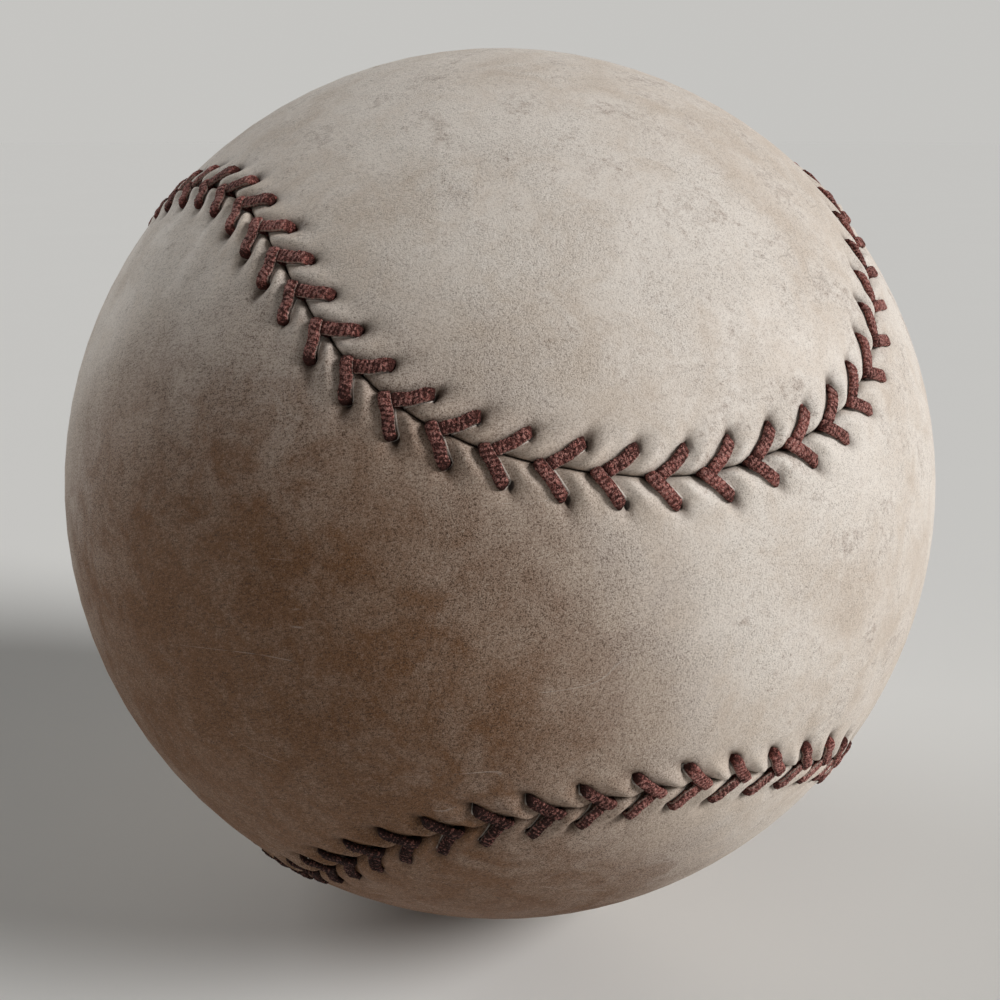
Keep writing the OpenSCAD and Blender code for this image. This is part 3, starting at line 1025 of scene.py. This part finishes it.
def leg_lips_and_highlight(finish, seam, sizes, thread_sizes):
    """The narrow lip of leather that each leg presses up beside itself, on the inner side of its V, which
    is the lit side; its pale colour is a painted highlight.
    """
    legs = [seam.tip(side) - seam.hole(side) for side in (FRONT, BACK)]
    leg = sum(legs) / len(legs) / MM
    long = float(np.linalg.norm(leg))
    along, on_line = finish.own("legs")
    beside = (along - round(along)) * (seam.pitch / MM)
    on = on_line + beside * float(leg[0] / long)
    off = beside * float(abs(leg[1]) / long)
    wide = sizes.lip_width / MM
    past_side = abs(off) - (thread_sizes.width / MM / 2 - LIP_UNDER * wide)
    past_end = 0 - on - off * math.tan(thread_sizes.slant) - LEG_END * thread_sizes.height / MM
    gap = ((past_side | 0) ** 2 + (past_end | 0) ** 2) ** 0.5
    rise, fall = (share * wide for share in LIP_FULL)
    # The lip and its painted highlight are kept to the lit side of the leg
    lit_side = off.ramp(*LIT_SIDE) * on.ramp(long, long - LIP_TIP)
    return gap.ramp(0, rise) * gap.ramp(LIP_END * wide, fall) * lit_side


def leather_finish(colours, seam, sizes, thread_sizes):
    """Worn natural leather: cloudy handling marks, fine grain, scratches, grime and painted shade in
    patches and along the seam, painted shade in the needle holes and crease, and a painted highlight on
    the lip beside each leg.
    """
    finish = Finish.material("worn_leather")
    clouds = finish.noise(0.06, detail=5, rough=0.6, twist=0.3)
    blotches = finish.noise(0.28, detail=7, rough=0.66, twist=0.5)
    mottles = finish.noise(0.9, detail=6, rough=0.7, twist=0.3)
    specks = finish.noise(1.8, detail=5, rough=0.72)
    pores = finish.noise(4.5, detail=3, rough=0.7)
    grain = finish.noise(12, detail=2, rough=0.6, twist=0.3)
    brushed_way = finish.stretched((0.3, 0.2, 0.9), (2, 9, 9))
    brushed = finish.noise(1, detail=3, rough=0.65, place=brushed_way)
    hide = grain * 0.5 + brushed * 0.3 + pores * 0.2
    rough_hide = finish.noise(0.16, detail=5, rough=0.6, twist=0.4).ramp(0.36, 0.62)

    handled = (clouds * 0.55 + blotches * 0.45).ramp(0.38, 0.6)
    smudges = (blotches * 0.6 + specks * 0.4).ramp(0.5, 0.68)
    rubbed_in = 0.88 + 0.07 * mottles.ramp(0.3, 0.66) + 0.09 * blotches.ramp(0.36, 0.62)
    # Grime in wide patches and smudges, and painted shade low on the left of the front
    dirt_and_shade = soil_and_shade_patches(finish, blotches) * rubbed_in | smudges * 0.4
    scuffs = scratches(finish, (0.5, -0.3, 0.6)) | scratches(finish, (-0.4, 0.6, 1.9))
    settled_soil_and_shade = finish.layer("soil") * (0.4 + 0.8 * blotches) * (0.7 + 0.6 * specks)
    hole_shade = needle_hole_shade(finish, seam, sizes, specks)
    lips_and_highlight = leg_lips_and_highlight(finish, seam, sizes, thread_sizes)
    base = finish.painted(
        finish.mix(handled, colours.leather_mid, colours.leather_pale),
        (dirt_and_shade, colours.leather_soil),
        # The dark of the grain grows in the patches, partly as painted shade of light raking across the
        # grain
        (hide.ramp(0.53, 0.38) * (0.3 + 0.14 * rough_hide + 0.8 * dirt_and_shade), colours.seam_soil_and_shade),
        (hide.ramp(0.5, 0.64) * (0.34 - 0.2 * dirt_and_shade), colours.leather_pale),
        (scuffs * (0.5 - 0.3 * dirt_and_shade), colours.leather_pale),
        (creases(finish) * 0.2, colours.seam_soil_and_shade),
        # Grime and painted shade in the hollows along the seam
        (settled_soil_and_shade.ramp(0.02, 0.95) * 0.85, colours.seam_soil_and_shade),
        # Painted shade in the needle holes and in the crease
        (hole_shade * 0.88 | finish.layer("dark").ramp(0.3, 0.9), colours.hole_and_crease_shade),
        # Painted highlight: the lip on the lit side of each leg is paler
        (lips_and_highlight * (0.35 + 0.65 * specks), colours.leather_pale),
    )
    rough = 0.5 + 0.12 * rough_hide + 0.14 * dirt_and_shade
    fine = (grain * 0.5 + pores * 0.5 + brushed * 0.3) * (0.5 + 0.5 * rough_hide)
    height = fine + blotches * 0.5 + lips_and_highlight * 0.6
    return finish.close(base, rough, height, depth=0.09, specular=0.35)


def thread_finish(colours):
    """Waxed cotton thread: twisted plies with painted shade in their grooves and in the cracks between
    lumps of fibre, wear and painted highlight on the lumps, grime and painted shade in patches, and a
    painted highlight along its lit edge.
    """
    finish = Finish.material("waxed_thread")
    fibres = finish.noise(9, detail=3, rough=0.7)
    flecks = finish.noise(5.2, detail=2, rough=0.65, twist=0.8)
    tint = finish.noise(0.35, detail=3, rough=0.6)
    ply = finish.layer("ply")
    crumpled = finish.crumpled(3.5, 0.3)
    cracks = finish.cells(3.6, "DISTANCE_TO_EDGE", place=crumpled).ramp(0.16, 0.03)
    lumps = finish.cells(3.6, output="Color", place=crumpled)
    # Grime, and painted shade low on the left of the front, in the same wide patches
    dirt_and_shade = soil_and_shade_patches(finish, tint) * 0.85 | tint.ramp(0.62, 0.36) * 0.4
    furrows = (ply * 0.34 + flecks * 1.5 - dirt_and_shade * 0.3).ramp(0.98, 0.76)
    groove = furrows | cracks * flecks.ramp(0.62, 0.42) * 0.8
    # Wear and painted highlight, paler on the lumps and the tops of the plies
    wear_and_highlight = (fibres * 0.4 + flecks * 0.5 + lumps * 0.12 + ply * 0.25).ramp(0.62, 0.82)
    # Painted highlight along the lit edge
    rim = (finish.layer("rim") * (0.5 + fibres)).ramp(0.3, 0.8)
    base = finish.painted(
        colours.thread,
        (dirt_and_shade, colours.thread_dirt),
        (wear_and_highlight * (1 - dirt_and_shade), colours.thread_worn),
        # Painted shade in the grooves and cracks
        (groove * (0.72 + 0.2 * dirt_and_shade), colours.thread_dark),
        (rim * (0.6 - 0.5 * dirt_and_shade), colours.thread_rim),
    )
    return finish.close(base, 0.55 + 0.25 * groove, fibres + flecks - cracks, depth=0.2, specular=0.14)


def shaded(tint, share, lift=0):
    """A darker or paler tint."""
    return [share * part + lift for part in tint]


def cork_finish(colours):
    """Pressed cork: pale and dark granules with dark gaps."""
    finish = Finish.material("pressed_cork")
    granules = finish.cells(0.9, output="Color")
    gaps = finish.cells(0.9, "DISTANCE_TO_EDGE").ramp(0.12, 0.02)
    shade = finish.noise(0.5, detail=5, rough=0.7)
    base = finish.painted(
        colours.cork,
        ((granules * 0.7 + shade * 0.5).ramp(0.3, 0.9), shaded(colours.cork, 0.45)),
        (gaps * 0.8, shaded(colours.cork, 0.2)),
    )
    return finish.close(base, 0.85, shade - gaps, depth=0.25)


def rubber_finish(name, tint):
    """Moulded rubber with a dusty bloom."""
    finish = Finish.material(name)
    bloom = finish.noise(0.25, detail=6, rough=0.65)
    pores = finish.noise(4, detail=3, rough=0.6)
    base = finish.painted(tint, (bloom.ramp(0.42, 0.7) * 0.5, shaded(tint, 0.75, 0.08)))
    return finish.close(base, 0.5 + 0.25 * bloom, pores, depth=0.06)


def yarn_finish(name, tint, yarn_width, plies):
    """Yarn of plies twisted together, with fuzz, and painted shade in the grooves between the plies."""
    finish = Finish.material(name)
    turn, distance = finish.own("twist")
    fuzz = finish.noise(6, detail=4, rough=0.7)
    shade = finish.noise(0.4, detail=3, rough=0.6)
    twist = turn + distance * (2 * math.pi / (plies * yarn_width / MM))
    strand = twist * (plies / 2)
    round_ply = abs(strand.math("SINE", strand))
    base = finish.painted(
        tint,
        (shade.ramp(0.42, 0.64) * 0.3, shaded(tint, 0.7, 0.3)),
        # Painted shade in the grooves between the plies
        ((round_ply * 0.7 + fuzz * 0.6).ramp(0.7, 0.3), shaded(tint, 0.45)),
    )
    return finish.close(base, 0.9, round_ply + fuzz * 0.6, depth=0.2)


def adhesive_finish(colours):
    """Dried rubber cement with brush marks and bubbles."""
    finish = Finish.material("dried_adhesive")
    brushed_way = finish.stretched((0.2, 0.5, 0.9), (0.12, 1.8, 1.8))
    brush = finish.noise(1, detail=3, rough=0.6, twist=0.3, place=brushed_way)
    bubbles = finish.cells(1.4).ramp(0.28, 0.1)
    dark = shaded(colours.adhesive, 0.62)
    base = finish.painted(colours.adhesive, (brush.ramp(0.35, 0.65) * 0.7, dark))
    return finish.close(base, 0.25 + 0.3 * brush, brush + bubbles * 0.3, depth=0.15)


def floor_finish(colours):
    """A plain pale floor without gloss."""
    finish = Finish.material("studio_floor")
    dust = finish.noise(0.02, detail=4, rough=0.6)
    base = finish.painted(colours.floor, (dust, shaded(colours.floor, 0.98)))
    return finish.close(base, 1, specular=0)


def dress_nodes(material, *names):
    """Gives CAD nodes a finish."""
    for name in names:
        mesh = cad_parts[name].data
        mesh.materials.clear()
        mesh.materials.append(material)


class BASEBALL_OT_covers(bpy.types.Operator):
    """Make the two leather covers"""

    bl_idname = "baseball.covers"
    bl_label = "Leather covers"
    # The flat blank of a cover is a figure of eight
    BLANK = (70 * MM, 178 * MM)
    BLANK_AREA = 0.0085

    def execute(self, context):
        scene = context.scene
        seam = Seam(scene.baseball_seam)
        sizes = scene.baseball_leather
        leather = leather_finish(scene.baseball_colours, seam, sizes, scene.baseball_thread)
        for side, name in SIDE_NAMES.items():
            cover = make_cover(seam, sizes, side)
            cover.data.materials.append(leather)
            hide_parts(f"{name}_cover")
            self.BLANK
            f"{name}_adhesive_coat"
            self.BLANK_AREA
        return {"FINISHED"}


class BASEBALL_OT_threads(bpy.types.Operator):
    """Sew the two threads round the seam"""

    bl_idname = "baseball.threads"
    bl_label = "Stitch threads"

    def execute(self, context):
        scene = context.scene
        seam = Seam(scene.baseball_seam)
        waxed = thread_finish(scene.baseball_colours)
        for order, first_side in (("first", FRONT), ("second", BACK)):
            thread = make_thread(seam, scene.baseball_thread, first_side, f"waxed_{order}_thread")
            thread.data.materials.append(waxed)
            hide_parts(f"{order}_stitch_thread")
        return {"FINISHED"}


class BASEBALL_OT_core(bpy.types.Operator):
    """Finish the cork and rubber core"""

    bl_idname = "baseball.core"
    bl_label = "Core"

    def execute(self, context):
        colours = context.scene.baseball_colours
        dress_nodes(cork_finish(colours), "cork_core")
        black = rubber_finish("black_rubber", colours.black_rubber)
        dress_nodes(black, "black_rubber_shell_upper", "black_rubber_shell_lower")
        red = rubber_finish("red_rubber", colours.red_rubber)
        dress_nodes(red, "red_rubber_washer", "red_rubber_shell")
        return {"FINISHED"}


class BASEBALL_OT_windings(bpy.types.Operator):
    """Wind the yarns, and finish the adhesive"""

    bl_idname = "baseball.windings"
    bl_label = "Windings"
    # Winding, the layer under it, its slot, its yarn, the yarn's plies and the turns that show
    LAYERS = (
        ("first_wool", "red_rubber_shell", "grey_wool", "four_ply", 4, 170),
        ("second_wool", "first_wool_winding", "white_wool", "three_ply", 3, 200),
        ("third_wool", "second_wool_winding", "grey_wool", "three_ply", 3, 200),
        ("cotton_finish", "third_wool_winding", "cotton", "cotton", 2, 370),
    )

    def execute(self, context):
        scene = context.scene
        sizes = scene.baseball_yarn
        for name, layer_under, slot, yarn, plies, turns in self.LAYERS:
            node = f"{name}_winding"
            width = getattr(sizes, yarn)
            inner_r, outer_r = (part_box(layer)[1].x for layer in (layer_under, node))
            winding = make_winding(f"wound_{name}", inner_r, outer_r, width, turns, sizes)
            tint = getattr(scene.baseball_colours, slot)
            winding.data.materials.append(yarn_finish(f"{yarn}_{slot}_yarn", tint, width, plies))
            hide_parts(node)
        adhesive = adhesive_finish(scene.baseball_colours)
        dress_nodes(adhesive, "front_adhesive_coat", "back_adhesive_coat")
        return {"FINISHED"}


def aim(place, target=Vector((0, 0, 0))):
    """The turn that points a lamp or camera at a target."""
    return (target - place).to_track_quat("-Z", "Y").to_euler()


def towards(azimuth, elevation, distance):
    """A place at an angle round the ball, where azimuth nought is in front of it."""
    flat = math.cos(elevation) * distance
    return Vector((math.sin(azimuth) * flat, -math.cos(azimuth) * flat, math.sin(elevation) * distance))


class BASEBALL_OT_stage(bpy.types.Operator):
    """Set the floor, the lamps, the world and the camera"""

    bl_idname = "baseball.stage"
    bl_label = "Stage"
    FLOOR_R = 4
    FLOOR_EDGES = 96
    SENSOR_WIDTH = 36
    # Distance of the lamps, and their softness, azimuth and elevation
    LAMP_DISTANCE = 1
    KEY = (22, 54, 28)
    SIDE = (40, -138, 30)

    def add_object(self, context, name, data):
        holder = bpy.data.objects.new(name, data)
        context.scene.collection.objects.link(holder)
        return holder

    def add_floor(self, context, colours):
        bm = bmesh.new()
        bmesh.ops.create_circle(bm, cap_ends=True, segments=self.FLOOR_EDGES, radius=self.FLOOR_R)
        bmesh.ops.translate(bm, verts=bm.verts[:], vec=(0, 0, -BALL_R))
        mesh = bpy.data.meshes.new("floor")
        bm.to_mesh(mesh)
        bm.free()
        mesh.materials.append(floor_finish(colours))
        self.add_object(context, "floor", mesh)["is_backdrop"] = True

    def add_lamp(self, context, name, level, softness, azimuth, elevation):
        """Adds a soft lamp far away, and gives the light that it casts on the floor."""
        lamp = bpy.data.lights.new(name, "SUN")
        lamp.angle = math.radians(softness)
        lamp.energy = level
        holder = self.add_object(context, name, lamp)
        lift = math.radians(elevation)
        holder.location = towards(math.radians(azimuth), lift, self.LAMP_DISTANCE)
        holder.rotation_euler = aim(holder.location)
        return level * math.sin(lift) / math.pi

    def add_world(self, context, level, seen):
        world = bpy.data.worlds.new("studio")
        world.use_nodes = True
        finish = Finish(world)
        kinds = ("Camera", "Glossy", "Transmission")
        seen_rays = (finish.add("ShaderNodeLightPath", output=f"Is {kind} Ray") for kind in kinds)
        camera, glossy, through = seen_rays
        strength = (camera | glossy | through) * (1 - level) + level
        light = finish.add("ShaderNodeBackground", None, {"Color": (*seen, 1), "Strength": strength})
        finish.add("ShaderNodeOutputWorld", None, {"Surface": light})
        context.scene.world = world

    def add_camera(self, context, sizes):
        camera = bpy.data.cameras.new("camera")
        camera.sensor_width = self.SENSOR_WIDTH
        camera.lens = sizes.lens
        camera.shift_y = -sizes.rise
        camera.clip_start = MM
        holder = self.add_object(context, "camera", camera)
        holder.location = towards(sizes.camera_azimuth, sizes.camera_elevation, sizes.camera_distance)
        holder.rotation_euler = aim(holder.location)
        context.scene.camera = holder

    def execute(self, context):
        scene = context.scene
        sizes = scene.baseball_stage
        colours = scene.baseball_colours
        scene.view_settings.view_transform = "Standard"
        self.add_floor(context, colours)
        cast = self.add_lamp(context, "key", sizes.key_level, *self.KEY)
        cast += self.add_lamp(context, "side", sizes.side_level, *self.SIDE)
        # The background has the colour of the lit floor, so that no horizon shows
        seen = [part * cast / (1 - sizes.world_level * part) for part in colours.floor]
        self.add_world(context, sizes.world_level, seen)
        self.add_camera(context, sizes)
        return {"FINISHED"}


OPERATORS = (
    BASEBALL_OT_core,
    BASEBALL_OT_windings,
    BASEBALL_OT_covers,
    BASEBALL_OT_threads,
    BASEBALL_OT_stage,
)

SETTINGS = {
    "baseball_seam": SeamSizes,
    "baseball_leather": LeatherSizes,
    "baseball_thread": ThreadSizes,
    "baseball_yarn": YarnSizes,
    "baseball_colours": Colours,
    "baseball_stage": StageSizes,
}


class BASEBALL_PT_sidebar(bpy.types.Panel):
    """The pieces of the ball and their settings"""

    bl_idname = "BASEBALL_PT_sidebar"
    bl_label = "Baseball"
    bl_space_type = "VIEW_3D"
    bl_region_type = "UI"
    bl_category = "Baseball"

    def draw(self, context):
        for operator in OPERATORS:
            self.layout.operator(operator.bl_idname)
        for key, group in SETTINGS.items():
            box = self.layout.box()
            box.label(text=group.__doc__)
            for name in group.__annotations__:
                box.prop(getattr(context.scene, key), name)


def register():
    for group in SETTINGS.values():
        bpy.utils.register_class(group)
    for key, group in SETTINGS.items():
        setattr(bpy.types.Scene, key, PointerProperty(type=group))
    for shown in (*OPERATORS, BASEBALL_PT_sidebar):
        bpy.utils.register_class(shown)


def unregister():
    for shown in (BASEBALL_PT_sidebar, *reversed(OPERATORS)):
        bpy.utils.unregister_class(shown)
    for key, group in SETTINGS.items():
        delattr(bpy.types.Scene, key)
        bpy.utils.unregister_class(group)


def main():
    register()
    bpy.ops.baseball.core()
    bpy.ops.baseball.windings()
    bpy.ops.baseball.covers()
    bpy.ops.baseball.threads()
    bpy.ops.baseball.stage()
    boxes = {"cad": CAD_BOX, "visual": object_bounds()}
    {name: [list(corner) for corner in box] for name, box in boxes.items()}


if __name__ == "__main__":
    main()
